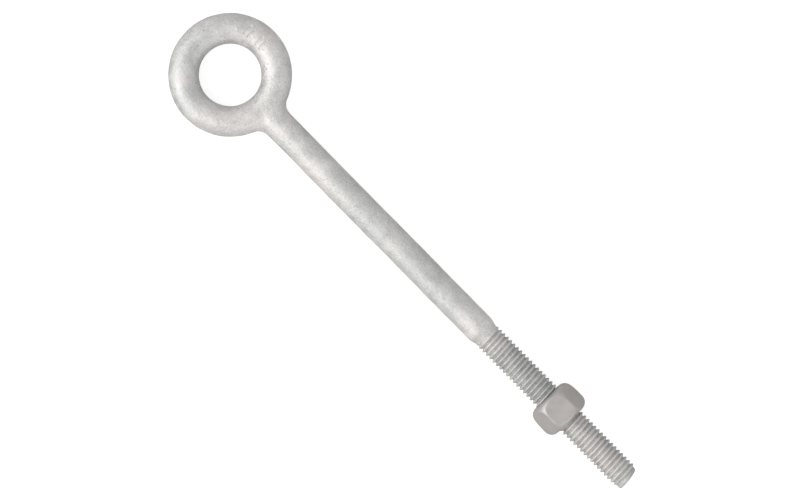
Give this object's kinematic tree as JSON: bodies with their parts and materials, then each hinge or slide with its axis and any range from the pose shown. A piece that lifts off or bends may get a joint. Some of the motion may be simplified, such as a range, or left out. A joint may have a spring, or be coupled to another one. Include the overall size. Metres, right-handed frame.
{
  "type": "eye bolt",
  "caption": "Forged galvanised eye bolt: a round lifting eye on a long plain shank, threaded at the end and fitted with a hex nut.",
  "frame": {"origin": "centre of the eye", "axes": "+X along the shank towards the thread's tip, +Z through the eye, +Y across the eye"},
  "size_m": [0.2571, 0.0506, 0.0186],
  "materials": {
    "galvanised_forging": "hot-dip galvanised forged steel, matt pale grey with a fine frosted grain",
    "galvanised_nut": "galvanised steel, smoother and a little darker than the forging"
  },
  "bodies": {
    "eye_bolt": {"eye_bolt": "galvanised_forging"},
    "hex_nut": {"hex_nut": "galvanised_nut"}
  },
  "joints": [
    {"name": "nut_travel", "type": "slide", "parent": "eye_bolt", "child": "hex_nut", "axis": [1, 0, 0], "range_m": [-0.03126, 0.03322]}
  ]
}
